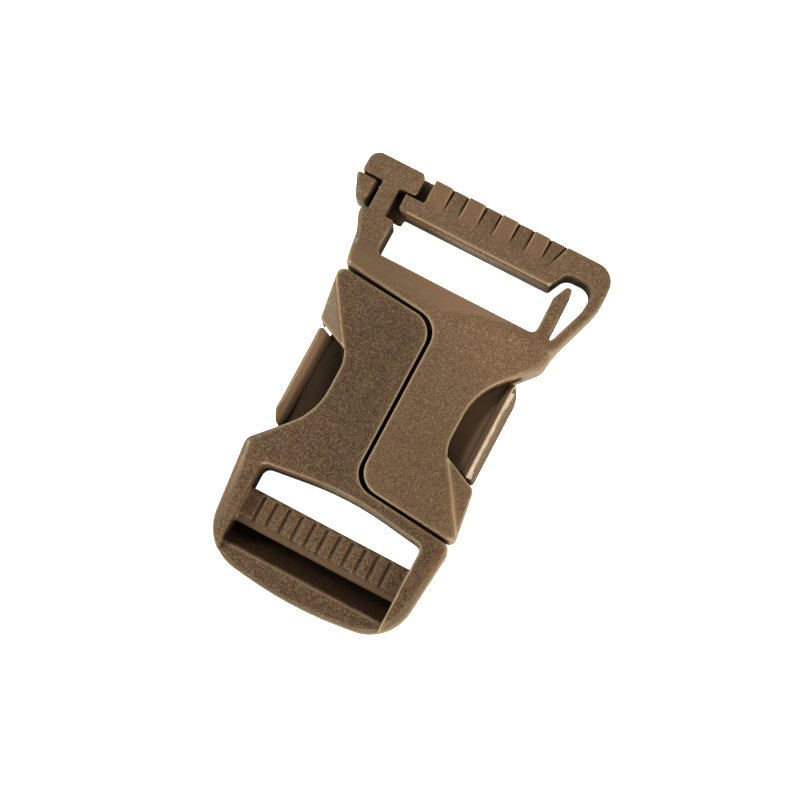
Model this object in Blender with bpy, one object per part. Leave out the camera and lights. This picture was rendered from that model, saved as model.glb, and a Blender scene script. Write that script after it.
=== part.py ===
"""Side release buckle for 25 mm webbing, fastened: two moulded plastic halves.

The halves meet along an S-shaped seam and are alike under a half turn about Z in
everything that latches: each has a hollow plate with a wing, and a release prong
that reaches through the other half's wing to the window at its side.
One half ends in a ladder lock, the other in a split bar with a hooked gate.
X is the width, Y the length (+Y at the split bar), +Z the front face.
"""
import math

import bmesh
import bpy
from mathutils import Vector

MM = 0.001

# Thickness, measured from the flat back at Z = 0
THICK = 9.4 * MM
MIDDLE = THICK / 2
FRAME_HALF = 3.25 * MM        # half thickness of the split bar frame
LADDER_HALF = 4.1 * MM        # half thickness at the tip of the ladder end
SKIN = 2.5 * MM               # front and back walls of each hollow plate

# Seam between the halves, with the gap on each side of its middle line
SEAM_END = (17.0 * MM, 14.68 * MM)
SEAM_TURN = 13.15 * MM
SEAM_RADIUS = 3.6 * MM
SEAM_GAP_X = 0.3 * MM
SEAM_GAP_Y = 0.22 * MM

# Outline of the plates, written for the ladder half
WINDOW_X = -9.6 * MM
WINDOW_LOW = -6.8 * MM
WINDOW_HIGH = 1.6 * MM
WING_ROOT = (-10.35 * MM, 3.5 * MM)
WING_LOW = (-15.75 * MM, 6.0 * MM)
WING_TIP_X = -16.95 * MM
WING_RELIEF = 1.3 * MM        # how far the wing's back edge stays behind its front edge
SHOULDER = (-17.05 * MM, -14.6 * MM)
SPLIT_SHOULDER = (-16.8 * MM, -14.8 * MM)
SPLIT_WING_OUT = 0.22 * MM    # how much wider the split bar half's wing is
CREST_TOP = (-16.9 * MM, 12.9 * MM)
CREST_FALL = math.radians(17)

# Release prong, written for the prong of the split bar half
PAD_OUT = -15.4 * MM
PAD_IN = -13.2 * MM
PAD_HALF = 3.45 * MM
WEB_HALF = 1.85 * MM
WEB_IN = -8.9 * MM
WING_CLEAR = 0.4 * MM
BLEND = (-13.9 * MM, -12.2 * MM)     # where the pad runs down into the web
BLEND_LOW = -8.8 * MM                # where that slope has faded out

# Guide rib along the seam, written for the split bar half's rib
RIB_REACH = -1.15 * MM
RIB_START = 0.25 * MM
RIB_FOOT = (-3.4 * MM, 12.0 * MM)    # corner of the part of the rib past the seam's turn
RIB_HALF = 0.75 * MM
RIB_CLEAR = 0.35 * MM

# Slots for 25 mm webbing
SLOT_HALF = 13.2 * MM
LADDER_SLOT = (-20.45 * MM, -16.8 * MM)      # lower edge, upper edge at its ends
LADDER_SLOT_CROWN = -15.6 * MM
SPLIT_SLOT = (18.7 * MM, 26.1 * MM)

# Ladder end
LADDER_END = -33.5 * MM
LADDER_CORNER = (15.55 * MM, -31.55 * MM)
LADDER_CORNER_RADIUS = 7.2 * MM
LADDER_CROWN_RADIUS = 60 * MM
LADDER_SOFT = 2.0 * MM
END_BAR_SOFT = 1.1 * MM
TOOTH_BAR_TOP = 6.3 * MM
TOOTH_BAR_END = -25.9 * MM
END_BAR_TOP = 7.1 * MM
END_BAR_START = -29.1 * MM
BAR_LEAN = 4.1 * MM           # how far the end bar's inner face leans towards +Y at the back
TOOTH_LEAN = 3.0 * MM         # the same for the toothed bar's underside
GROOVES = 11
GROOVE_PITCH = 2.09 * MM
GROOVE_WIDTH = 0.62 * MM
GROOVE_DEPTH = 0.45 * MM
FIRST_GROOVE = -10.6 * MM

# Split bar end
FRAME_TOP = 32.65 * MM
FRAME_RIGHT = 19.95 * MM
HOOK_LEFT = -20.9 * MM
HOOK_END = -11.95 * MM
HOOK_UNDER = 28.95 * MM
NECK = (-17.4 * MM, -14.65 * MM)
NECK_FOOT = 24.15 * MM
GATE_END = -13.4 * MM
GATE_STEP = -10.35 * MM
LAYER = 4.65 * MM             # underside of the neck, over the tongue
TONGUE_TOP = 4.3 * MM
TONGUE_LOW = 1.8 * MM
LATCH_LEFT = -21.6 * MM
LATCH_RIGHT = -18.0 * MM
LATCH_LOW = 24.75 * MM
LATCH_TOP = 7.75 * MM
POST = (13.2 * MM, 15.2 * MM)
POST_TIP = 27.2 * MM
GRIP_START = 28.7 * MM        # where the wedge recesses on the gate begin
GRIP_DEPTH = 0.85 * MM
# Wedge recesses in mm along X: left, right at its start, right at the outer edge
GRIPS = ((-7.45, -4.75, -4.75), (-1.95, 0.8, 0.8), (3.5, 6.2, 6.2), (8.8, 10.4, 11.7))

BEYOND = 3 * MM               # how far a cutter runs past the faces it cuts
NUDGE = 0.03 * MM             # keeps a cutter's edges off the faces that it cuts
ARC_STEP = math.radians(15)    # largest step round an arc
ARC_ERROR = 0.015 * MM         # most that a step may stand off its arc


def clear_scene():
    for thing in list(bpy.data.objects):
        bpy.data.objects.remove(thing, do_unlink=True)


def plastic(name, colour, roughness):
    """A Principled material for moulded plastic."""
    material = bpy.data.materials.new(name)
    material.use_nodes = True
    shader = material.node_tree.nodes["Principled BSDF"]
    shader.inputs["Base Color"].default_value = (*colour, 1)
    shader.inputs["Roughness"].default_value = roughness
    shader.inputs["Metallic"].default_value = 0
    return material


def rounded(corners):
    """Turn corners (x, y, radius, softness) into outline points (x, y, softness).

    The points run counter-clockwise. Softness is the width of the rounding where
    the side wall meets the front and the back.
    """
    area = sum(a[0] * b[1] - b[0] * a[1] for a, b in zip(corners, corners[1:] + corners[:1]))
    if area < 0:
        corners = corners[::-1]
    points = []
    for index, (x, y, radius, soft) in enumerate(corners):
        corner = Vector((x, y))
        before = Vector(corners[index - 1][:2]) - corner
        after = Vector(corners[(index + 1) % len(corners)][:2]) - corner
        turn = math.pi - before.angle(after)
        if radius <= 0 or turn < 0.01:
            points.append((x, y, soft))
            continue
        reach = min(radius * math.tan(turn / 2), 0.49 * before.length, 0.49 * after.length)
        radius = reach / math.tan(turn / 2)
        start = corner + before.normalized() * reach
        end = corner + after.normalized() * reach
        middle = (start + end) / 2
        centre = corner + (middle - corner).normalized() * math.hypot(reach, radius)
        step_angle = min(ARC_STEP, 2 * math.acos(1 - min(0.5, ARC_ERROR / radius)))
        steps = max(1, math.ceil(turn / step_angle))
        sweep = (start - centre).angle_signed(end - centre)
        for step in range(steps + 1):
            spoke = start - centre
            angle = -sweep * step / steps
            points.append((
                centre.x + spoke.x * math.cos(angle) - spoke.y * math.sin(angle),
                centre.y + spoke.x * math.sin(angle) + spoke.y * math.cos(angle),
                soft))
    return points


def half_turn(corners):
    """The same corners turned half round about Z."""
    return [(-x, -y, radius, soft) for x, y, radius, soft in corners]


def inward(points):
    """The direction at each outline point that keeps offset edges parallel."""
    result = []
    for index, point in enumerate(points):
        here = Vector(point[:2])
        one = (here - Vector(points[index - 1][:2])).normalized()
        two = (Vector(points[(index + 1) % len(points)][:2]) - here).normalized()
        left = Vector((-one.y - two.y, one.x + two.x)).normalized()
        result.append(left / max(0.5, left.dot(Vector((-one.y, one.x)))))
    return result


def loft(name, points, rings):
    """A closed solid through rings, each a function of the softness giving (inset, z)."""
    mesh = bpy.data.meshes.new(name)
    bm = bmesh.new()
    directions = inward(points)
    loops = []
    for ring in rings:
        loop = []
        for (x, y, soft), direction in zip(points, directions):
            inset, z = ring(soft)
            loop.append(bm.verts.new((x + direction.x * inset, y + direction.y * inset, z)))
        loops.append(loop)
    bm.faces.new(loops[0][::-1])
    bm.faces.new(loops[-1])
    for low, high in zip(loops, loops[1:]):
        for index in range(len(low)):
            follow = (index + 1) % len(low)
            bm.faces.new((low[index], low[follow], high[follow], high[index]))
    bm.to_mesh(mesh)
    bm.free()
    thing = bpy.data.objects.new(name, mesh)
    bpy.context.scene.collection.objects.link(thing)
    return thing


def slab(name, corners, low, high, steps=3):
    """A plate between two heights whose front and back edges are rounded."""
    angles = [math.pi / 2 * step / steps for step in range(steps + 1)]
    rings = [lambda s, a=a: (s * (1 - math.sin(a)), low + s * (1 - math.cos(a))) for a in angles]
    rings += [lambda s, a=a: (s * (1 - math.sin(a)), high - s * (1 - math.cos(a)))
              for a in angles[::-1]]
    return loft(name, rounded(corners), rings)


def hole(name, corners, low, high):
    """A cutter through the faces at two heights, flared at both for softened edges."""
    rings = [
        lambda s: (-s, low - BEYOND),
        lambda s: (-s, low),
        lambda s: (0, low + s),
        lambda s: (0, high - s),
        lambda s: (-s, high),
        lambda s: (-s, high + BEYOND)]
    return loft(name, rounded(corners), rings)


def block(name, corners, low, high):
    """A plain prism between two heights."""
    rings = [lambda s: (0, low), lambda s: (0, high)]
    return loft(name, rounded(corners), rings)


def box_corners(left, right, near, far):
    return [(left, near, 0, 0), (right, near, 0, 0), (right, far, 0, 0), (left, far, 0, 0)]


def between(name, first, last):
    """A closed solid between two ends with the same number of points."""
    mesh = bpy.data.meshes.new(name)
    bm = bmesh.new()
    ends = [[bm.verts.new(point) for point in end] for end in (first, last)]
    bm.faces.new(ends[0])
    bm.faces.new(ends[1][::-1])
    for index in range(len(first)):
        follow = (index + 1) % len(first)
        bm.faces.new((ends[0][index], ends[1][index], ends[1][follow], ends[0][follow]))
    bmesh.ops.recalc_face_normals(bm, faces=bm.faces)
    bm.to_mesh(mesh)
    bm.free()
    thing = bpy.data.objects.new(name, mesh)
    bpy.context.scene.collection.objects.link(thing)
    return thing


def sweep_x(name, profile, left, right):
    """A prism along X with a profile of (y, z) points."""
    return between(name, *[[(x, y, z) for y, z in profile] for x in (left, right)])


def thin_along_y(thing, stations):
    """Scale the thickness about the middle plane by straight steps along Y."""
    bm = bmesh.new()
    bm.from_mesh(thing.data)
    for y, _ in stations:
        everything = bm.verts[:] + bm.edges[:] + bm.faces[:]
        bmesh.ops.bisect_plane(bm, geom=everything, plane_co=(0, y, 0), plane_no=(0, 1, 0))
    for vert in bm.verts:
        y = vert.co.y
        scale = stations[0][1] if y < stations[0][0] else stations[-1][1]
        for (y0, s0), (y1, s1) in zip(stations, stations[1:]):
            if y0 <= y <= y1:
                scale = s0 + (s1 - s0) * (y - y0) / (y1 - y0)
        vert.co.z = MIDDLE + (vert.co.z - MIDDLE) * scale
    bm.to_mesh(thing.data)
    bm.free()


def combine(body, tool, operation):
    """Join or cut with an exact Boolean; the tool stays as a hidden guide."""
    modifier = body.modifiers.new(tool.name, "BOOLEAN")
    modifier.operation = operation
    modifier.solver = "EXACT"
    modifier.object = tool
    tool.hide_render = True
    tool.display_type = "WIRE"


def seam_corners():
    """The two turns of the seam on the ladder half's edge."""
    return [
        (-SEAM_GAP_X, SEAM_TURN - SEAM_GAP_Y, SEAM_RADIUS, 0.2 * MM),
        (-SEAM_GAP_X, -SEAM_TURN - SEAM_GAP_Y, SEAM_RADIUS, 0.2 * MM)]


def plate_corners(shoulder, shoulder_radius, wider):
    """Window and wing of a half, from its shoulder to its wing tip."""
    return [
        (*shoulder, shoulder_radius, 1.1 * MM),
        (WINDOW_X, WINDOW_LOW, 10 * MM, 0.3 * MM),
        (WINDOW_X, WINDOW_HIGH, 5 * MM, 0.3 * MM),
        (*WING_ROOT, 0.6 * MM, 0.25 * MM),
        (WING_LOW[0] - wider, WING_LOW[1], 0.7 * MM, 0.6 * MM),
        (WING_TIP_X - wider, SEAM_END[1] - SEAM_GAP_Y, 1.1 * MM, 0.6 * MM)]


def crest_cutter(name, side, front):
    """A wedge that lowers the triangle outside the crest line of a wing."""
    start = Vector(CREST_TOP)
    along = Vector(WING_ROOT) - start
    length = along.length
    along.normalize()
    across = Vector((along.y, -along.x))
    if across.dot(Vector(WING_LOW) - start) < 0:
        across = -across
    face = THICK if front else 0
    up = 1 if front else -1
    fall = math.tan(CREST_FALL)
    reach = 7 * MM
    lead = 0.5 * MM
    ends = []
    for step in (-2 * lead, length - 2 * lead):
        end = []
        for distance, height in ((-lead, lead * fall), (reach, -reach * fall),
                                 (reach, BEYOND), (-lead, BEYOND)):
            place = start + along * step + across * distance
            end.append((-side * place.x, -side * place.y, face + up * height))
        ends.append(end)
    return between(name, *ends)


def wing_relief_corners():
    """Where the wing's back wall is cut back, which lets light through over the pad."""
    return box_corners(WING_TIP_X - BEYOND, PAD_IN - 0.3 * MM,
                       WING_ROOT[1], WING_LOW[1] + WING_RELIEF)


def cavity_corners():
    """The hollow of the ladder half, open at the wing's mouth and at the window."""
    wall = WING_LOW[0] + 0.55 * MM
    inner = -6.2 * MM
    mouth = -8.2 * MM
    return [
        (wall, SEAM_END[1] + BEYOND, 0, 0),
        (mouth, SEAM_END[1] + BEYOND, 0, 0),
        (mouth, 11.5 * MM, 0, 0),
        (inner, 9.5 * MM, 0, 0),
        (inner, -10.2 * MM, 0, 0),
        (inner - 2 * MM, -12.4 * MM, 0, 0),
        (wall, -12.4 * MM, 0, 0)]


def prong(side, root):
    """Arm, web and finger pad of one prong; side +1 is the split bar half's."""
    place = (lambda corners: corners) if side > 0 else half_turn
    slope = (WING_LOW[1] - WING_ROOT[1]) / (WING_LOW[0] - WING_ROOT[0])

    def under_wing(x):
        return WING_ROOT[1] + slope * (x - WING_ROOT[0]) - WING_CLEAR

    pad = slab(f"guide_pad_{root}", place([
        (PAD_IN, under_wing(PAD_IN), 0.3 * MM, 0.2 * MM),
        (PAD_OUT, under_wing(PAD_OUT), 0.8 * MM, 0.6 * MM),
        (PAD_OUT, under_wing(PAD_OUT) - 2 * MM, 0, 1.1 * MM),
        (PAD_OUT, -6.8 * MM, 0, 1.1 * MM),
        (PAD_OUT, -8.8 * MM, 2 * MM, 0.6 * MM),
        (-14.3 * MM, -10.7 * MM, 0.5 * MM, 0.3 * MM),
        (-13.5 * MM, -10.5 * MM, 0.3 * MM, 0.2 * MM),
        (PAD_IN, -8.4 * MM, 2 * MM, 0.9 * MM),
        (PAD_IN, under_wing(PAD_IN) - 1.6 * MM, 0, 0.9 * MM)]),
        MIDDLE - PAD_HALF, MIDDLE + PAD_HALF)
    web = block(f"guide_web_{root}", place([
        (-14.1 * MM, under_wing(-14.1 * MM) - 0.3 * MM, 0, 0),
        (-13.4 * MM, under_wing(-13.4 * MM), 0, 0),
        (-13.4 * MM, SEAM_END[1] + 1.1 * MM, 0, 0),
        (-10.6 * MM, SEAM_END[1] + 1.1 * MM, 0, 0),
        (-10.6 * MM, 4.2 * MM, 0.8 * MM, 0),
        (WEB_IN, 3.0 * MM, 0.8 * MM, 0),
        (WEB_IN, -8.6 * MM, 1.5 * MM, 0),
        (-12.6 * MM, -11.2 * MM, 0.8 * MM, 0),
        (-14.1 * MM, -10.2 * MM, 0, 0)]),
        MIDDLE - WEB_HALF, MIDDLE + WEB_HALF)
    return web, pad, pad_blend(side, root, under_wing)


def pad_blend(side, root, under_wing):
    """The slope from the pad into the web, fading towards the pad's free end."""
    steps = 6
    flat = WEB_HALF - 0.05 * MM
    outer, inner = BLEND
    ends = []
    for rise in (0, PAD_HALF - 0.1 * MM - flat):
        upper = []
        for step in range(steps + 1):
            t = step / steps
            x = inner + (outer - inner) * t
            y = under_wing(x) - 0.1 * MM if rise else BLEND_LOW
            upper.append((x, y, flat + rise * t * t * (3 - 2 * t)))
        lower = [(x, y, -z) for x, y, z in upper[::-1]]
        ends.append([(side * x, side * y, MIDDLE + z) for x, y, z in upper + lower])
    return between(f"guide_blend_{root}", *ends)


def rib_corners(clear):
    """The split bar half's guide rib in plan, or with clearance the groove for it."""
    wide = 1.2 * MM
    low = RIB_START - clear
    foot_x, foot_y = [value - clear for value in RIB_FOOT]
    top = SEAM_TURN + (BEYOND if clear else 0.65 * MM)
    return [
        (wide, low, 0, 0),
        (wide, top, 0, 0),
        (foot_x, top, 0, 0),
        (foot_x, foot_y, 0, 0),
        (RIB_REACH - clear, foot_y, 0, 0),
        (RIB_REACH - clear, low, 0, 0)]


def add_guides(body, side, name):
    """A rib along the seam wall and round its turn, and a groove for the other half's rib."""
    rib = rib_corners(0)
    groove = half_turn(rib_corners(RIB_CLEAR))
    if side < 0:
        rib = half_turn(rib)
        groove = half_turn(groove)
    reach = RIB_HALF + RIB_CLEAR
    combine(body, block(f"guide_groove_{name}", groove, MIDDLE - reach, MIDDLE + reach),
            "DIFFERENCE")
    combine(body, block(f"guide_rib_{name}", rib, MIDDLE - RIB_HALF, MIDDLE + RIB_HALF), "UNION")


def finish_half(body, side, name):
    """Hollow the plate, lower the wing beside its crest and add the prong."""
    hollow = cavity_corners() if side < 0 else half_turn(cavity_corners())
    cavity = block(f"guide_cavity_{name}", hollow, SKIN, THICK - SKIN)
    combine(body, cavity, "DIFFERENCE")
    for face, front in (("front", True), ("back", False)):
        combine(body, crest_cutter(f"guide_crest_{face}_{name}", side, front), "DIFFERENCE")
    relief = wing_relief_corners() if side < 0 else half_turn(wing_relief_corners())
    combine(body, block(f"guide_relief_{name}", relief, -BEYOND, SKIN + NUDGE), "DIFFERENCE")
    add_guides(body, side, name)
    for piece in prong(side, name):
        combine(body, piece, "UNION")


def ladder_end_corners(inset, soft):
    """The round end of the ladder half, from its right corner to its left."""
    x, y = LADDER_CORNER
    return [
        (x - inset, y + inset, LADDER_CORNER_RADIUS, soft),
        (0, LADDER_END + inset, LADDER_CROWN_RADIUS, soft),
        (inset - x, y + inset, LADDER_CORNER_RADIUS, soft)]


def end_bar():
    """The bar at the very end of the ladder half, with a leaning inner face."""
    half = SLOT_HALF + 0.5 * MM
    start = END_BAR_START + BAR_LEAN
    wide = -SHOULDER[0] - NUDGE
    bar = slab("guide_end_bar", [(wide, SHOULDER[1], 0, 0.05 * MM)]
               + ladder_end_corners(NUDGE, END_BAR_SOFT)
               + [(-wide, SHOULDER[1], 0, 0.05 * MM)],
               0.65 * MM, END_BAR_TOP)
    between_rails = block("guide_end_bar_width",
                          box_corners(-half, half, LADDER_END - BEYOND, start),
                          -BEYOND, THICK)
    combine(bar, between_rails, "INTERSECT")
    lean = sweep_x("guide_end_bar_face", [
        (END_BAR_START - 0.5 * MM, END_BAR_TOP + 0.15 * MM),
        (END_BAR_START, END_BAR_TOP - 0.35 * MM),
        (END_BAR_START + BAR_LEAN, -0.05 * MM),
        (END_BAR_START + 2 * BAR_LEAN, -0.05 * MM),
        (END_BAR_START + 2 * BAR_LEAN, THICK)],
        -half - BEYOND, half + BEYOND)
    combine(bar, lean, "DIFFERENCE")
    return bar


def tooth_bar():
    """The toothed bar between the two webbing slots, undercut towards the back."""
    half = SLOT_HALF + 0.5 * MM
    near = LADDER_SLOT[0]
    land_end = TOOTH_BAR_END + 1.4 * MM
    bar = sweep_x("guide_tooth_bar", [
        (near, TOOTH_BAR_TOP - 0.3 * MM),
        (near - 0.3 * MM, TOOTH_BAR_TOP),
        (land_end, TOOTH_BAR_TOP),
        (land_end - 0.3 * MM, TOOTH_BAR_TOP - 0.35 * MM),
        (TOOTH_BAR_END, TOOTH_BAR_TOP - 0.9 * MM),
        (TOOTH_BAR_END, TOOTH_BAR_TOP - 1.5 * MM),
        (TOOTH_BAR_END + TOOTH_LEAN, 1.0 * MM),
        (near, 1.0 * MM)],
        -half, half)
    for number in range(GROOVES):
        x = FIRST_GROOVE + number * GROOVE_PITCH
        groove = sweep_x(f"guide_groove_{number}", [
            (near - 0.35 * MM, TOOTH_BAR_TOP - GROOVE_DEPTH),
            (near - 0.35 * MM, TOOTH_BAR_TOP + GROOVE_DEPTH),
            (land_end - 0.4 * MM, TOOTH_BAR_TOP + GROOVE_DEPTH),
            (land_end - 0.4 * MM, TOOTH_BAR_TOP - GROOVE_DEPTH)],
            x - GROOVE_WIDTH / 2, x + GROOVE_WIDTH / 2)
        combine(bar, groove, "DIFFERENCE")
    return bar


def ladder_half(material):
    """The half with the ladder lock, covering the left side of the front."""
    body = slab("ladder_lock_half",
                plate_corners(SHOULDER, 1.5 * MM, 0) + seam_corners()
                + [(SEAM_END[0], -SEAM_END[1] - SEAM_GAP_Y, 1.3 * MM, 0.6 * MM)]
                + ladder_end_corners(0, LADDER_SOFT),
                0, THICK)
    thin_along_y(body, [(LADDER_END, LADDER_HALF / MIDDLE), (-15 * MM, 1)])
    body.data.materials.append(material)
    low, high = LADDER_SLOT
    slot = hole("guide_ladder_slot", [
        (-SLOT_HALF, low - 1 * MM, 0, 0.2 * MM),
        (SLOT_HALF, low - 1 * MM, 0, 0.2 * MM),
        (SLOT_HALF, high, 1.3 * MM, 0.2 * MM),
        (0, LADDER_SLOT_CROWN + 0.6 * MM, 60 * MM, 0.2 * MM),
        (-SLOT_HALF, high, 1.3 * MM, 0.2 * MM)],
        0.1 * MM, THICK - 0.1 * MM)
    combine(body, slot, "DIFFERENCE")
    channel = block("guide_ladder_channel",
                    box_corners(-SLOT_HALF, SLOT_HALF, LADDER_END - BEYOND, low),
                    -BEYOND, THICK + BEYOND)
    combine(body, channel, "DIFFERENCE")
    combine(body, tooth_bar(), "UNION")
    combine(body, end_bar(), "UNION")
    finish_half(body, -1, "ladder")
    return body


def frame_hole_corners():
    """Webbing slot, gap beside the neck and spring gap as one opening round the post."""
    soft = 0.25 * MM
    low, high = SPLIT_SLOT
    return [
        (-13.1 * MM, low, 0.9 * MM, soft),
        (-13.1 * MM, NECK_FOOT, 0.3 * MM, 0.1 * MM),
        (NECK[1], NECK_FOOT, 0.2 * MM, 0.1 * MM),
        (NECK[1], HOOK_UNDER, 0.2 * MM, 0.1 * MM),
        (GATE_END, HOOK_UNDER, 0, 0.1 * MM),
        (GATE_END, high - 0.1 * MM, 0.6 * MM, soft),
        (11.9 * MM, high, 0.5 * MM, soft),
        (13.3 * MM, 29.1 * MM, 1.8 * MM, soft),
        (17.95 * MM, 29.2 * MM, 2.4 * MM, soft),
        (17.95 * MM, 25.0 * MM, 6 * MM, soft),
        (15.8 * MM, 18.9 * MM, 0.3 * MM, 0.15 * MM),
        (POST[1] + 0.1 * MM, 18.9 * MM, 0.2 * MM, 0.15 * MM),
        (POST[1], POST_TIP, 0.5 * MM, 0.15 * MM),
        (14.3 * MM, POST_TIP, 0.5 * MM, 0.15 * MM),
        (POST[0], 24.8 * MM, 0.6 * MM, 0.15 * MM),
        (POST[0], low, 0.9 * MM, soft)]


def hook_gap_corners():
    """The gap round the hook's right end, seen from the front."""
    return [
        (NECK[1], HOOK_UNDER - 0.35 * MM, 0, 0.1 * MM),
        (GATE_STEP, HOOK_UNDER - 0.35 * MM, 0.3 * MM, 0.1 * MM),
        (GATE_STEP, FRAME_TOP + BEYOND, 0, 0.1 * MM),
        (HOOK_END - 2.6 * MM, FRAME_TOP + BEYOND, 0, 0.1 * MM),
        (HOOK_END - 2.6 * MM, FRAME_TOP + 0.2 * MM, 0, 0.1 * MM),
        (HOOK_END, FRAME_TOP + 0.2 * MM, 2.1 * MM, 0.1 * MM),
        (HOOK_END, HOOK_UNDER, 0.5 * MM, 0.1 * MM),
        (NECK[1], HOOK_UNDER, 0, 0.1 * MM)]


def grip_cutter(number, left, right, right_far):
    """A wedge recess on the gate, from nothing to GRIP_DEPTH at the outer edge."""
    top = MIDDLE + FRAME_HALF
    length = FRAME_TOP - GRIP_START
    slope = GRIP_DEPTH / length
    skew = (right_far - right) / length
    ends = []
    for y in (GRIP_START - 0.3 * MM, FRAME_TOP + BEYOND):
        depth = (y - GRIP_START) * slope
        edge = right + (y - GRIP_START) * skew
        ends.append([(left, y, top - depth), (edge, y, top - depth),
                     (edge, y, top + BEYOND), (left, y, top + BEYOND)])
    return between(f"guide_grip_{number}", *ends)


def tongue():
    """The gate's lower layer, which passes behind the neck and carries the latch."""
    far = FRAME_TOP - 0.05 * MM
    return block("guide_tongue", [
        (-19.3 * MM, LATCH_LOW + 0.1 * MM, 0, 0),
        (-12.4 * MM, LATCH_LOW + 0.1 * MM, 0.4 * MM, 0),
        (-12.4 * MM, 26.3 * MM, 1.0 * MM, 0),
        (-10 * MM, 26.4 * MM, 0, 0),
        (-10 * MM, far, 0, 0),
        (-14.9 * MM, far, 0.5 * MM, 0),
        (-14.9 * MM, HOOK_UNDER - 0.6 * MM, 0, 0),
        (-19.3 * MM, HOOK_UNDER - 0.6 * MM, 0, 0)],
        TONGUE_LOW, TONGUE_TOP)


def latch():
    """The release block that stands up at the left of the neck."""
    return slab("guide_latch", [
        (LATCH_LEFT, HOOK_UNDER - 0.35 * MM, 0.35 * MM, 0.3 * MM),
        (LATCH_RIGHT, HOOK_UNDER - 0.35 * MM, 0.4 * MM, 0.4 * MM),
        (LATCH_RIGHT, LATCH_LOW, 0.7 * MM, 0.7 * MM),
        (-20.05 * MM, LATCH_LOW, 1.0 * MM, 1.0 * MM)],
        TONGUE_LOW - 0.3 * MM, LATCH_TOP)


def split_bar_half(material):
    """The half with the split bar, covering the right side of the front."""
    soft = 0.8 * MM
    low = MIDDLE - FRAME_HALF
    high = MIDDLE + FRAME_HALF
    plate = plate_corners(SPLIT_SHOULDER, 2.4 * MM, SPLIT_WING_OUT)
    body = slab("split_bar_half", half_turn(plate + seam_corners()) + [
        (-16.25 * MM, SEAM_END[1] + SEAM_GAP_Y, 0.9 * MM, soft),
        (-16.95 * MM, 17.6 * MM, 4 * MM, soft),
        (-17.3 * MM, 20.2 * MM, 5 * MM, soft),
        (-18.5 * MM, 23.0 * MM, 2.5 * MM, soft),
        (-18.45 * MM, 24.0 * MM, 0.4 * MM, 0.3 * MM),
        (NECK[0], 24.0 * MM, 0.2 * MM, 0.1 * MM),
        (NECK[0], HOOK_UNDER, 0.2 * MM, 0.1 * MM),
        (HOOK_LEFT, HOOK_UNDER, 0.35 * MM, 0.3 * MM),
        (HOOK_LEFT, FRAME_TOP, 3.0 * MM, 0.5 * MM),
        (FRAME_RIGHT, FRAME_TOP, 3.4 * MM, soft),
        (FRAME_RIGHT, 26.5 * MM, 9 * MM, soft),
        (17.0 * MM, 17.4 * MM, 7 * MM, soft)],
        0, THICK)
    thin_along_y(body, [(15.2 * MM, 1), (SPLIT_SLOT[0], FRAME_HALF / MIDDLE)])
    body.data.materials.append(material)
    under_neck = block("guide_under_neck",
                       box_corners(LATCH_LEFT, GATE_END + 0.2 * MM,
                                   NECK_FOOT - 0.4 * MM, HOOK_UNDER - 0.1 * MM),
                       -BEYOND, LAYER)
    under_hook = block("guide_under_hook",
                       box_corners(-15.3 * MM, GATE_STEP,
                                   HOOK_UNDER - 0.3 * MM, FRAME_TOP + BEYOND),
                       -BEYOND, LAYER)
    for tool in (hole("guide_frame_hole", frame_hole_corners(), low - NUDGE, high + NUDGE),
                 hole("guide_hook_gap", hook_gap_corners(), low - NUDGE, high + NUDGE),
                 under_neck, under_hook):
        combine(body, tool, "DIFFERENCE")
    for number, (left, right, right_far) in enumerate(GRIPS):
        tool = grip_cutter(number, left * MM, right * MM, right_far * MM)
        combine(body, tool, "DIFFERENCE")
    combine(body, tongue(), "UNION")
    combine(body, latch(), "UNION")
    finish_half(body, 1, "split")
    return body


def centre_on_origin(bodies):
    """Put the middle of the whole buckle's bounding box over the origin."""
    graph = bpy.context.evaluated_depsgraph_get()
    corners = [Vector(corner) for body in bodies for corner in body.evaluated_get(graph).bound_box]
    shift = Vector((0, 0, 0))
    for axis in (0, 1):
        values = [corner[axis] for corner in corners]
        shift[axis] = -(min(values) + max(values)) / 2
    for thing in bpy.data.objects:
        thing.location += shift


def build():
    clear_scene()
    ladder_plastic = plastic("tan_plastic_ladder", (0.20, 0.13, 0.075), 0.55)
    split_plastic = plastic("tan_plastic_split", (0.21, 0.14, 0.08), 0.55)
    centre_on_origin([ladder_half(ladder_plastic), split_bar_half(split_plastic)])


build()
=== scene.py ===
"""Looks for the fastened side release buckle: moulded surfaces, plastic, light, camera."""

import math

import bmesh
import bpy
import numpy as np
from mathutils import Matrix, Vector
from mathutils.bvhtree import BVHTree


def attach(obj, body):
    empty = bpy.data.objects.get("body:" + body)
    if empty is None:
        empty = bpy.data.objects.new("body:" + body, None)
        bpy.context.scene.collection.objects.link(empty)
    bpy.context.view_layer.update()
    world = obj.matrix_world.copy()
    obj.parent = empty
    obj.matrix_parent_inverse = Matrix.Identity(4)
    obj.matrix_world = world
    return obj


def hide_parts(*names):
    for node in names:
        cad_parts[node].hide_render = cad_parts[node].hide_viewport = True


MM = 0.001

# Camera, from the photograph: the part turned and tipped in front of an upright lens
TIP = math.radians(-8.14)
LEAN = math.radians(-0.95)
TURN = math.radians(-27.87)
SHIFT = Vector((-1.227, -1.49, 0)) * MM
DISTANCE = 320 * MM
FOCAL_PX = 2128.5
IMAGE_PX = 800
SENSOR = 36.0

# Sculpting works in millimetres from the middle of the seam, which lies here in the frame
SEAM_MIDDLE = (0.74, 0.174)
MIDDLE = 4.7                  # height of the middle plane
FACE = 9.4                    # height of the front face

# Fineness of the moulded surface
VOXEL = 0.13
SMOOTHINGS = 4
MOST_TRIANGLES = 190000

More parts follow.
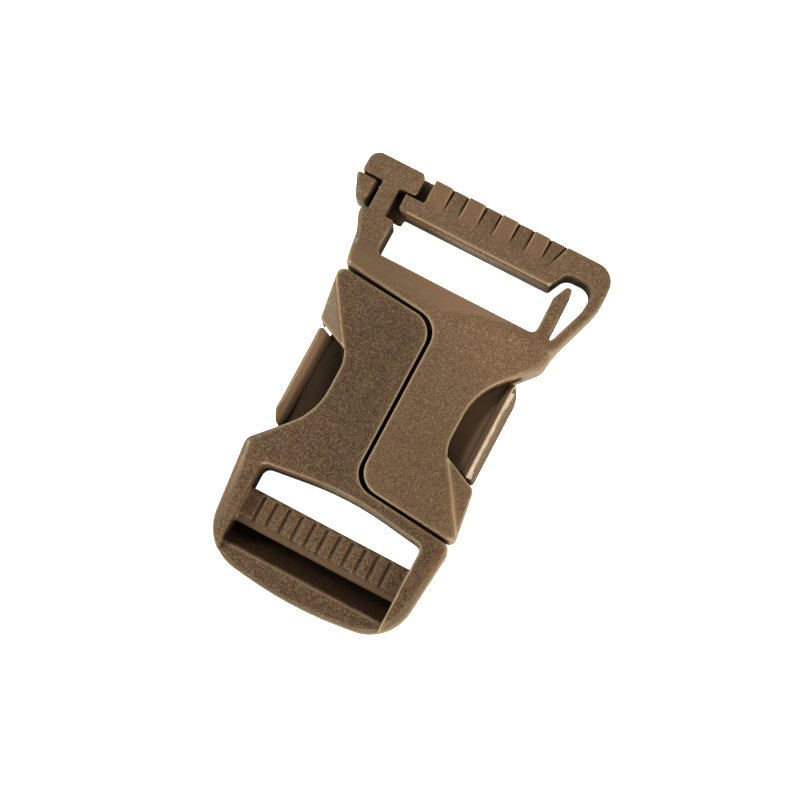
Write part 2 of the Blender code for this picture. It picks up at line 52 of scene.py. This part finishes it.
# Slope from the split bar half's plate down to its frame
SLOPE_START = 15.2            # straight slope of the solid
SLOPE_END = 18.7
SLOPE_EARLY = 14.3            # where the soft slope starts on the left
SLOPE_LATER = 2.6             # how much later it starts on the right
FRAME_SCALE = 3.25 / 4.7      # frame's thickness against the plate's

# Wedge recesses on the gate: the sides of each along X at its start and at the outer edge
GRIP_START = 28.7
GATE_TOP = 32.65
GRIP_SIDES = ((-7.45, -7.45, 1), (-4.75, -4.75, -1), (-1.95, -1.95, 1), (0.8, 0.8, -1),
              (3.5, 3.5, 1), (6.2, 6.2, -1), (8.8, 8.8, 1), (10.4, 11.7, -1))
RIBS = ((-10.35, -7.45), (-4.75, -1.95), (0.8, 3.5), (6.2, 8.8))
CREASE_DEPTH = 0.6
CREASE_HALF = 0.22
CREASE_SHIFT = 0.12           # into the recess, from its side

# Step along the gate's wall towards the slot
GATE_WALL = 26.1
STEP_HEIGHT = 6.6
STEP_HALF = 0.7
STEP_DEPTH = 0.22

# Ridge down each wing and round its window, written for the ladder half
CREST = ((-16.7, 12.9), (-13.6, 8.15), (-10.75, 4.0), (-10.0, 1.6), (-9.95, -3.6),
         (-10.9, -6.8), (-13.2, -9.8))
CREST_RISE = 0.15
CREST_HALF = 0.24
CREST_TOP = FACE + 0.09       # no ridge stands higher

# Finger pads: the crown, between IN and OUT from the middle, leans in and runs down into the web
PAD_IN = 12.2
PAD_OUT = 14.9
PAD_TOP = FACE - 1.1
PAD_HALF_LENGTH = 11.2
PAD_RISE = 1.08
PAD_LEAN = 0.37
WEB_FACE = 6.55

# Window in a wing that shows the other half's prong, written for the split bar half's prong
WINDOW_SIDE = 8.5
WINDOW_ENDS = (-11.4, 5.6)
PRONG_TOP = FACE - 1.15

# Ladder end, and the latch's head at the split bar
TEETH_HALF = 13.2             # half the length of the toothed bar
RAIL_START = -17              # the side rails run on from here
LATCH_SIDE = -17.85
LATCH_ENDS = (24.6, 28.75)

# Rays that find how much open sky each point sees
SKY_RAYS = 10
SKY_REACH = 30 * MM

# Colours of the plastic, of its worn edges with painted highlight, and of painted shade
LADDER_SMOOTH = (0.088, 0.047, 0.030)
LADDER_PITS = (0.010, 0.003, 0.001)
SPLIT_SMOOTH = (0.099, 0.058, 0.041)
SPLIT_PITS = (0.043, 0.022, 0.014)
# cream of worn edges, which also paints their highlights and the glints among the grain
WEAR_AND_HIGHLIGHT = (0.34, 0.25, 0.17)
# painted shade, laid into creases and where a point sees little open sky
PAINTED_SHADE = (0.008, 0.004, 0.002)

# Sky: its colour at each share of the way up
SKY = ((0.0, (1.6, 1.55, 1.15)), (0.66, (0.95, 0.92, 0.68)), (0.96, (0.12, 0.116, 0.086)))

# Lights, all of one colour: place and size in metres, power in watts
CREAM = (1, 0.97, 0.72)
LIGHTS = (("key", (-0.293, 0.055, 0.32), (0.30, 0.07), 2.2),
          ("fill", (0.42, 0.10, 0.10), (0.35, 0.08), 1.0),
          ("front", (0.22, -0.40, 0.13), (0.50, 0.12), 3.0))

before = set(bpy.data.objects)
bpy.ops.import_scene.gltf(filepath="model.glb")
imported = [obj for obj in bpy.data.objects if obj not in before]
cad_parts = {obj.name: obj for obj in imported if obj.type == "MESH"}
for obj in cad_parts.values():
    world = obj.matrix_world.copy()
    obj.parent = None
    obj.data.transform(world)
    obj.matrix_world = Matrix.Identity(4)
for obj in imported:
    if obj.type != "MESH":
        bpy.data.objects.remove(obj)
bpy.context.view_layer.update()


def smoothstep(value, low, high):
    t = np.clip((value - low) / (high - low), 0, 1)
    return t * t * (3 - 2 * t)


def bell(value, half):
    return np.exp(-(value / half) ** 2)


def bake(piece):
    """Replace a piece's mesh by what its modifiers make of it."""
    graph = bpy.context.evaluated_depsgraph_get()
    mesh = bpy.data.meshes.new_from_object(piece.evaluated_get(graph), depsgraph=graph)
    piece.modifiers.clear()
    piece.data = mesh


def moulded(node):
    """A finely meshed copy of a CAD node, in millimetres from the seam's middle."""
    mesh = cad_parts[node].data.copy()
    to_seam = Matrix.Translation((-SEAM_MIDDLE[0], -SEAM_MIDDLE[1], 0))
    mesh.transform(to_seam @ Matrix.Scale(1 / MM, 4))
    piece = bpy.data.objects.new(node.replace("_half", "_moulding"), mesh)
    bpy.context.scene.collection.objects.link(piece)
    remesh = piece.modifiers.new("voxels", "REMESH")
    remesh.mode = "VOXEL"
    remesh.voxel_size = VOXEL
    remesh.adaptivity = 0
    smooth = piece.modifiers.new("radii", "SMOOTH")
    smooth.factor = 0.5
    smooth.iterations = SMOOTHINGS
    bake(piece)
    return piece


def points_of(mesh):
    points = np.empty(len(mesh.vertices) * 3, dtype=np.float32)
    mesh.vertices.foreach_get("co", points)
    return points.reshape(-1, 3).astype(np.float64)


def normals_of(mesh):
    normals = np.empty(len(mesh.vertices) * 3, dtype=np.float32)
    mesh.vertex_normals.foreach_get("vector", normals)
    return normals.reshape(-1, 3).astype(np.float64)


def distance_to_line(points, line):
    """Distance in plan from each point to a line of straight stretches."""
    nearest = np.full(len(points), np.inf)
    for start, end in zip(line, line[1:]):
        start = np.array(start)
        step = np.array(end) - start
        away = points[:, :2] - start
        along = np.clip(away @ step / (step @ step), 0, 1)
        nearest = np.minimum(nearest, np.linalg.norm(away - along[:, None] * step, axis=1))
    return nearest


def soften_slope(points):
    """Blend the plate into the frame, later towards the spring loop."""
    x, y, z = points.T
    straight = np.interp(y, (SLOPE_START, SLOPE_END), (1, FRAME_SCALE))
    start = SLOPE_EARLY + SLOPE_LATER * smoothstep(x, -1, 13)
    blend = smoothstep(y, start, SLOPE_END + 0.5)
    curved = 1 - (1 - FRAME_SCALE) * blend
    points[:, 2] = MIDDLE + (z - MIDDLE) * curved / straight


def crease_grips(points):
    """Creases down both sides of each wedge recess on the gate."""
    x, y, z = points.T
    run = np.clip((y - GRIP_START) / (GATE_TOP - GRIP_START), 0, 1)
    front = smoothstep(z, MIDDLE, MIDDLE + 1) * (y > GRIP_START - 0.2)
    for near, far, inward in GRIP_SIDES:
        middle = near + (far - near) * run + inward * CREASE_SHIFT
        across = np.clip(1 - np.abs(x - middle) / CREASE_HALF, 0, 1)
        points[:, 2] -= front * across * CREASE_DEPTH * run ** 0.6


def step_gate_wall(points):
    """A shallow step along the wall of the gate that the webbing runs round."""
    x, y, z = points.T
    along = smoothstep(x, -12.5, -11.5) * (1 - smoothstep(x, 11, 12))
    wall = (np.abs(y - GATE_WALL) < 0.6) * along
    points[:, 1] += wall * STEP_DEPTH * bell(z - STEP_HEIGHT, STEP_HALF)


def bevel_latch(points):
    """Bevels on the latch's head, towards its lower end and towards the neck."""
    x, y, z = points.T
    start, end = LATCH_ENDS
    head = (x < LATCH_SIDE) * (y > start) * (y < end) * (z > 5.5)
    lower_end = 0.8 * np.clip(start + 1.25 - y, 0, 1.3)
    neck = 0.9 * np.clip(x - LATCH_SIDE + 0.7, 0, 0.6)
    points[:, 2] -= head * (lower_end + neck)


def raise_crests(points, side):
    """A ridge down the wing and round the window, on the front."""
    away = distance_to_line(points * np.array([side, side, 1]), CREST)
    front = smoothstep(points[:, 2], FACE - 2.0, FACE - 1.2)
    points[:, 2] += front * CREST_RISE * bell(away, CREST_HALF)
    np.minimum(points[:, 2], CREST_TOP, out=points[:, 2])


def lean_pad(points, side):
    """Cut the crown of the finger pad back to a slope that runs softly into the web."""
    x, y, z = points.T
    out = side * x
    lower = WEB_FACE + PAD_RISE * smoothstep(out, 12.3, 14.1) ** 1.3
    lower += PAD_LEAN * (out - 13.9) * smoothstep(out, 13.2, 14.2)
    crown = (out > PAD_IN) * (out < PAD_OUT) * (np.abs(y) < PAD_HALF_LENGTH)
    points[:, 2] = np.where(crown * (z < PAD_TOP) * (z > lower), lower, z)


def sculpt_ladder(points):
    lean_pad(points, 1)


def sculpt_split(points):
    lean_pad(points, -1)
    soften_slope(points)
    crease_grips(points)
    step_gate_wall(points)
    bevel_latch(points)


def spread(values, pairs, times):
    """Average each point with its neighbours, a number of times."""
    one, two = pairs
    size = len(values)
    count = np.bincount(one, minlength=size) + np.bincount(two, minlength=size)
    for _ in range(times):
        total = np.bincount(one, weights=values[two], minlength=size)
        total += np.bincount(two, weights=values[one], minlength=size)
        values = total / np.maximum(count, 1)
    return values


def edge_ends(mesh):
    """The numbers of the points at both ends of every edge, in two rows."""
    ends = np.empty(len(mesh.edges) * 2, dtype=np.int32)
    mesh.edges.foreach_get("vertices", ends)
    return ends.reshape(-1, 2).T


def keep_attribute(mesh, name, values):
    attribute = mesh.attributes.new(name, "FLOAT", "POINT")
    attribute.data.foreach_set("value", values.astype(np.float32))


def measure(mesh, points, normals, wear_and_highlight):
    """Keep how sharply the surface is folded: on edges, as far as they are worn and take painted
    highlight, and in creases, for painted shade.
    """
    pairs = edge_ends(mesh)
    middle = np.stack([spread(points[:, axis], pairs, 1) for axis in range(3)], axis=1)
    bend = spread(((points - middle) * normals).sum(axis=1) / VOXEL, pairs, 2)
    keep_attribute(mesh, "edge", np.clip(bend, 0, 1) * wear_and_highlight)
    keep_attribute(mesh, "rim", spread(np.clip(bend - 0.02, 0, 1), pairs, 14) * wear_and_highlight)
    keep_attribute(mesh, "crease", spread(np.clip(-bend - 0.03, 0, 1), pairs, 1))


def prong_zone(points, side):
    """1 on the smooth prong that shows in the other half's window."""
    x, y, z = (points * np.array([side, side, 1])).T
    start, end = WINDOW_ENDS
    window = smoothstep(-x, WINDOW_SIDE, WINDOW_SIDE + 0.3) * (y > start) * (y < end)
    return window * (z < PRONG_TOP)


def grain_on_front(normals):
    """Full grain on what faces the front, and little of it on the walls."""
    return 0.3 + 0.7 * smoothstep(normals[:, 2], 0.3, 0.8)


def grain_on_ladder(points, normals):
    """Less grain outside the wing's ridge, beside the teeth, deep in the slots and on the rails."""
    x, y, z = points.T
    across = np.abs(x)
    grain = grain_on_front(normals)
    crest_xs, crest_ys = zip(*reversed(CREST))
    beyond = np.interp(y, crest_ys, crest_xs) - x
    grain *= 1 - 0.6 * smoothstep(beyond, 0, 1) * (y > 3)
    grain *= 1 - smoothstep(-y, 24.9, 25.3) * (y > -26.2) * (across < TEETH_HALF)
    grain *= 1 - 0.9 * (z < 5.2) * (across < TEETH_HALF + 0.1) * (y > -29.3)
    grain *= 1 - 0.7 * smoothstep(across, 14.6, 16.2) * (y < -15)
    grain *= 1 - 0.75 * bell(distance_to_line(points, CREST), 0.4)
    return grain * (1 - prong_zone(points, -1))


def grain_on_split(points, normals):
    """Less grain on the slope to the frame, on the grips' ribs, deep down and on the ridge."""
    x, y, z = points.T
    grain = grain_on_front(normals)
    edge = np.interp(x, (-1, 0, 5, 10, 13), (15.0, 15.3, 17.2, 18.3, 18.7))
    slope = smoothstep(y, edge - 0.4, edge + 0.5) * (y < 19.2) * (x < 13.5)
    grain *= 1 - 0.85 * slope
    for left, right in RIBS:
        past_left = smoothstep(x, left - 0.1, left + 0.1)
        inside = past_left * (1 - smoothstep(x, right - 0.1, right + 0.1))
        grain *= 1 - 0.8 * inside * smoothstep(y, 28.2, 29.6)
    grain *= 1 - 0.9 * (z < 5.0)
    grain *= 1 - 0.6 * bell(distance_to_line(points * np.array([-1, -1, 1]), CREST), 0.4)
    return grain * (1 - prong_zone(points, 1))


def sky_directions():
    """Directions over a hemisphere about Z, denser towards its pole."""
    golden = math.pi * (3 - math.sqrt(5))
    for number in range(SKY_RAYS):
        out = math.sqrt((number + 0.5) / SKY_RAYS)
        angle = number * golden
        yield Vector((out * math.cos(angle), out * math.sin(angle), math.sqrt(1 - out * out)))


def keep_sky(pieces):
    """Keep the share of open sky that each point of the pieces sees, for painted shade where it is
    small.
    """
    places = []
    faces = []
    for piece in pieces:
        start = len(places)
        places += [vert.co.copy() for vert in piece.data.vertices]
        faces += [[start + corner for corner in face.vertices] for face in piece.data.polygons]
    tree = BVHTree.FromPolygons(places, faces)
    directions = list(sky_directions())
    for piece in pieces:
        mesh = piece.data
        seen = np.zeros(len(mesh.vertices))
        for number, vert in enumerate(mesh.vertices):
            normal = vert.normal
            turn = normal.to_track_quat("Z", "Y")
            start = vert.co + normal * 0.05 * MM
            for direction in directions:
                ray = turn @ direction
                if ray.z > 0 and tree.ray_cast(start, ray, SKY_REACH)[0] is None:
                    seen[number] += 1
        keep_attribute(mesh, "sky", spread(seen / SKY_RAYS, edge_ends(mesh), 3))


def painted_ridge_highlight_on(points, side):
    """A painted highlight along the ridge of the wing and round the window."""
    away = distance_to_line(points * np.array([side, side, 1]), CREST)
    return (0.12 * bell(away, 0.45) + 0.4 * bell(away, 0.16)) * (points[:, 2] > FACE - 1.5)


def painted_lighting_on_ladder(points):
    """Painted light and shade: painted shade in the slanted slot and on the pad's slope, painted
    highlight on its crown, the rails, the toothed bar's lands and along the ridge, lighter towards
    the left and darker across the middle of the front."""
    x, y, z = points.T
    across = np.abs(x)
    # painted light: lighter towards the left, darker towards the right and across the middle of the
    # front
    painted_lighting = 1 + 0.08 * smoothstep(-x, 4, 12) - 0.05 * smoothstep(x, -6, -1)
    painted_lighting -= 0.12 * bell(y, 6) * (z > 8)
    slot = (across < TEETH_HALF + 0.05) * (y > -29.2) * (y < -25.2)
    deep = slot * (z < np.where(y < -26.4, 6.7, 5.2))
    border = painted_ridge_highlight_on(points, 1)
    zone = prong_zone(points, -1)
    slope = zone * bell(z - 6.95, 0.4)
    crown = zone * smoothstep(z, 7.5, 7.7) * (x < PAD_OUT)
    rail = smoothstep(across, 13.3, 13.8) * (y < RAIL_START)
    land = (across < TEETH_HALF) * (y > -25.6) * (y < -20.6) * smoothstep(z, 5.9, 6.2)
    # painted shade deep in the slot, painted highlight along the ridge, on the rails and on the
    # lands
    painted_lighting *= (1 - 0.75 * deep) * (1 + border) * (1 + 0.12 * rail) * (1 + 0.25 * land)
    # painted shade on the pad's slope, painted highlight on its crown
    return painted_lighting * (1 - 0.6 * slope) * (1 + 0.5 * crown)


def painted_lighting_on_split(points):
    """Painted light and shade: painted light to the upper right and on the lower right of the wing,
    painted highlight along the ridge and on the pad's crown, painted light on the gate's wall with
    painted shade at its step, and painted shade on the pad's web."""
    x, y, z = points.T
    # painted light: lighter to the upper right, less so near the frame, and on the lower right of
    # the wing
    painted_lighting = 1 + 0.5 * smoothstep(x + y, 4, 26) * (1 - 0.65 * smoothstep(y, 18, 22))
    painted_lighting += 0.25 * smoothstep(x, 12.5, 15) * (y < -4)
    web = prong_zone(points, 1) * (1 - smoothstep(z, 6.6, 7.5))
    wall = (np.abs(y - GATE_WALL) < 0.5) * (np.abs(x) < 12) * (z < 7.8)
    # painted highlight along the ridge, painted light on the gate's wall and painted shade at its
    # step
    painted_lighting *= (1 + painted_ridge_highlight_on(points, -1)) * (1 + wall * (1.7 - 2.3 * bell(z - STEP_HEIGHT, 0.8)))
    # painted highlight on the pad's crown
    painted_lighting *= 1 + 0.6 * prong_zone(points, 1) * smoothstep(z, 7.4, 7.8)
    # painted shade on the pad's web, darkest towards the upper right
    return painted_lighting * (1 - web * (0.7 + 0.2 * smoothstep(x + 0.25 * y, -13, -10)))


def wear_and_highlight_on(points):
    """Less worn cream and painted highlight on the edges of the toothed bar, of the rail left of
    it, of the gate and hook.
    """
    x, y = points.T[:2]
    teeth = (np.abs(x) < TEETH_HALF) * (y < -20.3) * (y > -26.5)
    rail = (np.abs(x + 13.5) < 0.6) * (y < RAIL_START)
    gate = smoothstep(y, 21, 24) * ((np.abs(y - GATE_WALL) > 0.7) | (np.abs(x) > 12))
    return 1 - 0.65 * np.maximum(np.maximum(teeth, rail), gate)


def matt_on_ladder(z):
    """Where the prong is less polished: the web, up to the crown of the pad."""
    return 1 - smoothstep(z, 7.2, 7.45)


def matt_on_split(z):
    """Where the prong is less polished: the foot of the crown."""
    return bell(z - 7.3, 0.35)


def lighten(piece):
    """Bring a piece under the triangle limit, back to metres in the frame, smooth shaded."""
    piece.data.calc_loop_triangles()
    count = len(piece.data.loop_triangles)
    fewer = piece.modifiers.new("fewer", "DECIMATE")
    fewer.ratio = min(1, MOST_TRIANGLES / count)
    bake(piece)
    to_frame = Matrix.Translation((SEAM_MIDDLE[0], SEAM_MIDDLE[1], 0))
    piece.data.transform(Matrix.Scale(MM, 4) @ to_frame)
    piece.data.shade_smooth()


def link(tree, source, target):
    tree.links.new(source, target)


def math_node(tree, operation, first, second):
    node = tree.nodes.new("ShaderNodeMath")
    node.operation = operation
    for socket, value in zip(node.inputs, (first, second)):
        if isinstance(value, (int, float)):
            socket.default_value = value
        else:
            link(tree, value, socket)
    return node.outputs[0]


def mapped(tree, value, low, high, to_low, to_high):
    node = tree.nodes.new("ShaderNodeMapRange")
    link(tree, value, node.inputs["Value"])
    limits = (("From Min", low), ("From Max", high), ("To Min", to_low), ("To Max", to_high))
    for name, number in limits:
        node.inputs[name].default_value = number
    return node.outputs["Result"]


def multiplied(tree, first, second):
    """Multiply two colours, or a colour by a grey value."""
    node = tree.nodes.new("ShaderNodeMix")
    node.data_type = "RGBA"
    node.blend_type = "MULTIPLY"
    node.inputs["Factor"].default_value = 1
    link(tree, first, node.inputs[6])
    link(tree, second, node.inputs[7])
    return node.outputs[2]


def specks(tree, place, scale):
    """Two random values for each small cell."""
    cells = tree.nodes.new("ShaderNodeTexVoronoi")
    link(tree, place, cells.inputs["Vector"])
    cells.inputs["Scale"].default_value = scale
    split = tree.nodes.new("ShaderNodeSeparateColor")
    link(tree, cells.outputs["Color"], split.inputs["Color"])
    return split.outputs["Red"], split.outputs["Green"]


def noise(tree, place, scale, detail, roughness):
    node = tree.nodes.new("ShaderNodeTexNoise")
    link(tree, place, node.inputs["Vector"])
    node.inputs["Scale"].default_value = scale
    node.inputs["Detail"].default_value = detail
    node.inputs["Roughness"].default_value = roughness
    return node.outputs["Fac"]


def attribute(tree, name):
    node = tree.nodes.new("ShaderNodeAttribute")
    node.attribute_name = name
    return node.outputs["Fac"]


def mixed(tree, amount, first, second):
    """Mix two colours, each a socket or a plain colour."""
    node = tree.nodes.new("ShaderNodeMix")
    node.data_type = "RGBA"
    link(tree, amount, node.inputs["Factor"])
    for socket, value in ((node.inputs[6], first), (node.inputs[7], second)):
        if isinstance(value, tuple):
            socket.default_value = (*value, 1)
        else:
            link(tree, value, socket)
    return node.outputs[2]


def moulded_plastic(name, smooth, dark):
    """Moulded plastic: semi-gloss where polished, speckled and darker where spark-eroded, with worn
    cream and painted highlight on edges, painted glints, and painted light and shade.
    """
    material = bpy.data.materials.new(name)
    material.use_nodes = True
    tree = material.node_tree
    shader = tree.nodes["Principled BSDF"]
    place = tree.nodes.new("ShaderNodeTexCoord").outputs["Object"]
    grain = attribute(tree, "grain")
    # rim and edge: worn cream that also paints the highlights on edges
    rim = mapped(tree, attribute(tree, "rim"), 0.0, 0.09, 0, 1)
    edge = mapped(tree, attribute(tree, "edge"), 0.02, 0.085, 0, 1)
    # crease: painted shade in the folds
    crease = mapped(tree, attribute(tree, "crease"), 0.0, 0.14, 0, 1)
    # painted shade where a point sees little open sky
    painted_occlusion_shade = mapped(tree, attribute(tree, "sky"), 0.05, 0.42, 1, 0)
    speck, hue = specks(tree, place, 8200)
    fine = noise(tree, place, 9000, 1, 0.5)
    coarse = noise(tree, place, 1500, 2, 0.5)
    broad = noise(tree, place, 90, 2, 0.5)
    grain = math_node(tree, "MULTIPLY", grain, mapped(tree, rim, 0, 1, 1, 0.25))
    height = math_node(tree, "ADD", math_node(tree, "MULTIPLY", speck, 0.8),
                       math_node(tree, "MULTIPLY", fine, 0.4))
    pits = math_node(tree, "ADD", mapped(tree, height, 0.3, 0.95, 1, 0),
                     mapped(tree, coarse, 0.3, 0.7, 0.05, -0.05))
    pits = math_node(tree, "MULTIPLY", pits, grain)
    colour = mixed(tree, pits, smooth, dark)
    # painted glints among the grain's specks
    glint = math_node(tree, "MULTIPLY", mapped(tree, hue, 0.85, 1.0, 0, 0.4), grain)
    colour = mixed(tree, glint, colour, WEAR_AND_HIGHLIGHT)
    tint = mixed(tree, hue, (1.12, 0.97, 0.86), (0.94, 1.01, 1.02))
    tint = mixed(tree, grain, (1.0, 1.0, 1.0), tint)
    swing = mixed(tree, mapped(tree, broad, 0.3, 0.7, 0, 1), (0.95, 0.94, 0.93), (1.05, 1.05, 1.06))
    colour = multiplied(tree, multiplied(tree, colour, tint), swing)
    # painted light and shade kept on the points
    colour = multiplied(tree, colour, attribute(tree, "painted_lighting"))
    # painted highlight with wear on rims and edges, painted shade in creases and where little sky
    # is seen
    for amount, most, over in ((rim, 0.3, WEAR_AND_HIGHLIGHT), (edge, 0.7, WEAR_AND_HIGHLIGHT), (crease, 0.75, PAINTED_SHADE),
                               (painted_occlusion_shade, 0.9, PAINTED_SHADE)):
        colour = mixed(tree, math_node(tree, "MULTIPLY", amount, most), colour, over)
    link(tree, colour, shader.inputs["Base Color"])
    rough = mapped(tree, grain, 0, 1, 0.2, 0.46)
    rough = math_node(tree, "ADD", rough, mapped(tree, coarse, 0.3, 0.7, -0.03, 0.04))
    rough = math_node(tree, "ADD", rough, math_node(tree, "MULTIPLY", painted_occlusion_shade, 0.5))
    rough = math_node(tree, "ADD", rough, math_node(tree, "MULTIPLY", attribute(tree, "matt"), 0.5))
    link(tree, rough, shader.inputs["Roughness"])
    shader.inputs["Specular IOR Level"].default_value = 0.3
    swell = tree.nodes.new("ShaderNodeBump")
    swell.inputs["Distance"].default_value = 0.00006
    swell.inputs["Strength"].default_value = 0.35
    link(tree, broad, swell.inputs["Height"])
    bump = tree.nodes.new("ShaderNodeBump")
    bump.inputs["Distance"].default_value = 0.00007
    link(tree, mapped(tree, grain, 0, 1, 0.03, 0.9), bump.inputs["Strength"])
    link(tree, height, bump.inputs["Height"])
    link(tree, swell.outputs["Normal"], bump.inputs["Normal"])
    link(tree, bump.outputs["Normal"], shader.inputs["Normal"])
    return material


def dress(node, side, sculpt, grain_on, painted_lighting_on, matt_on, material):
    piece = moulded(node)
    mesh = piece.data
    points = points_of(mesh)
    sculpt(points)
    raise_crests(points, side)
    mesh.vertices.foreach_set("co", points.astype(np.float32).ravel())
    mesh.update()
    normals = normals_of(mesh)
    measure(mesh, points, normals, (1 - prong_zone(points, -side)) * wear_and_highlight_on(points))
    keep_attribute(mesh, "grain", grain_on(points, normals))
    # painted light and shade kept on the points
    keep_attribute(mesh, "painted_lighting", painted_lighting_on(points))
    keep_attribute(mesh, "matt", prong_zone(points, -side) * matt_on(points[:, 2]))
    lighten(piece)
    piece.data.materials.clear()
    piece.data.materials.append(material)
    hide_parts(node)
    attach(piece, "root")
    return piece


def add_floor():
    """A pale table top that shines white for the camera alone."""
    mesh = bpy.data.meshes.new("floor")
    bm = bmesh.new()
    bmesh.ops.create_grid(bm, x_segments=1, y_segments=1, size=2.0)
    bm.to_mesh(mesh)
    bm.free()
    floor = bpy.data.objects.new("floor", mesh)
    floor.location.z = -0.02 * MM
    bpy.context.scene.collection.objects.link(floor)
    material = bpy.data.materials.new("pale_floor")
    material.use_nodes = True
    tree = material.node_tree
    shader = tree.nodes["Principled BSDF"]
    shader.inputs["Base Color"].default_value = (0.8, 0.8, 0.8, 1)
    shader.inputs["Roughness"].default_value = 0.9
    shader.inputs["Specular IOR Level"].default_value = 0
    shader.inputs["Emission Color"].default_value = (1, 1, 1, 1)
    seen = tree.nodes.new("ShaderNodeLightPath").outputs["Is Camera Ray"]
    link(tree, seen, shader.inputs["Emission Strength"])
    mesh.materials.append(material)


def area_light(name, place, size, power):
    data = bpy.data.lights.new(name, "AREA")
    data.shape = "RECTANGLE"
    data.size, data.size_y = size
    data.energy = power
    data.color = CREAM
    light = bpy.data.objects.new(name, data)
    light.location = place
    light.rotation_euler = (-Vector(place)).to_track_quat("-Z", "Y").to_euler()
    bpy.context.scene.collection.objects.link(light)


def add_light():
    """A pale tent round the part that is darker straight overhead, and three soft lights."""
    world = bpy.data.worlds.new("studio")
    world.use_nodes = True
    tree = world.node_tree
    background = tree.nodes["Background"]
    direction = tree.nodes.new("ShaderNodeTexCoord").outputs["Generated"]
    split = tree.nodes.new("ShaderNodeSeparateXYZ")
    link(tree, direction, split.inputs["Vector"])
    ramp = tree.nodes.new("ShaderNodeValToRGB")
    stops = ramp.color_ramp.elements
    stops.new(0.5)
    for stop, (share, colour) in zip(stops, SKY):
        stop.position = share
        stop.color = (*colour, 1)
    link(tree, split.outputs["Z"], ramp.inputs["Fac"])
    link(tree, ramp.outputs["Color"], background.inputs["Color"])
    background.inputs["Strength"].default_value = 1.0
    bpy.context.scene.world = world
    for light in LIGHTS:
        area_light(*light)
    bpy.context.scene.view_settings.view_transform = "Standard"


def add_camera():
    """A camera that sees the part as the photograph does."""
    turn = Matrix.Rotation(TURN, 3, "Z")
    rotate = Matrix.Rotation(TIP, 3, "X") @ Matrix.Rotation(LEAN, 3, "Y") @ turn
    back = rotate.transposed()
    data = bpy.data.cameras.new("camera")
    data.sensor_width = SENSOR
    data.lens = FOCAL_PX / IMAGE_PX * SENSOR
    data.clip_start = 0.01
    camera = bpy.data.objects.new("camera", data)
    place = back @ (Vector((0, 0, DISTANCE)) - SHIFT)
    camera.matrix_world = Matrix.Translation(place) @ back.to_4x4()
    bpy.context.scene.collection.objects.link(camera)
    bpy.context.scene.camera = camera


add_camera()
ladder_lock = dress("ladder_lock_half", 1, sculpt_ladder, grain_on_ladder, painted_lighting_on_ladder,
                    matt_on_ladder,
                    moulded_plastic("tan_plastic_ladder", LADDER_SMOOTH, LADDER_PITS))
split_bar = dress("split_bar_half", -1, sculpt_split, grain_on_split, painted_lighting_on_split,
                  matt_on_split,
                  moulded_plastic("tan_plastic_split", SPLIT_SMOOTH, SPLIT_PITS))
keep_sky((ladder_lock, split_bar))
add_floor()
add_light()
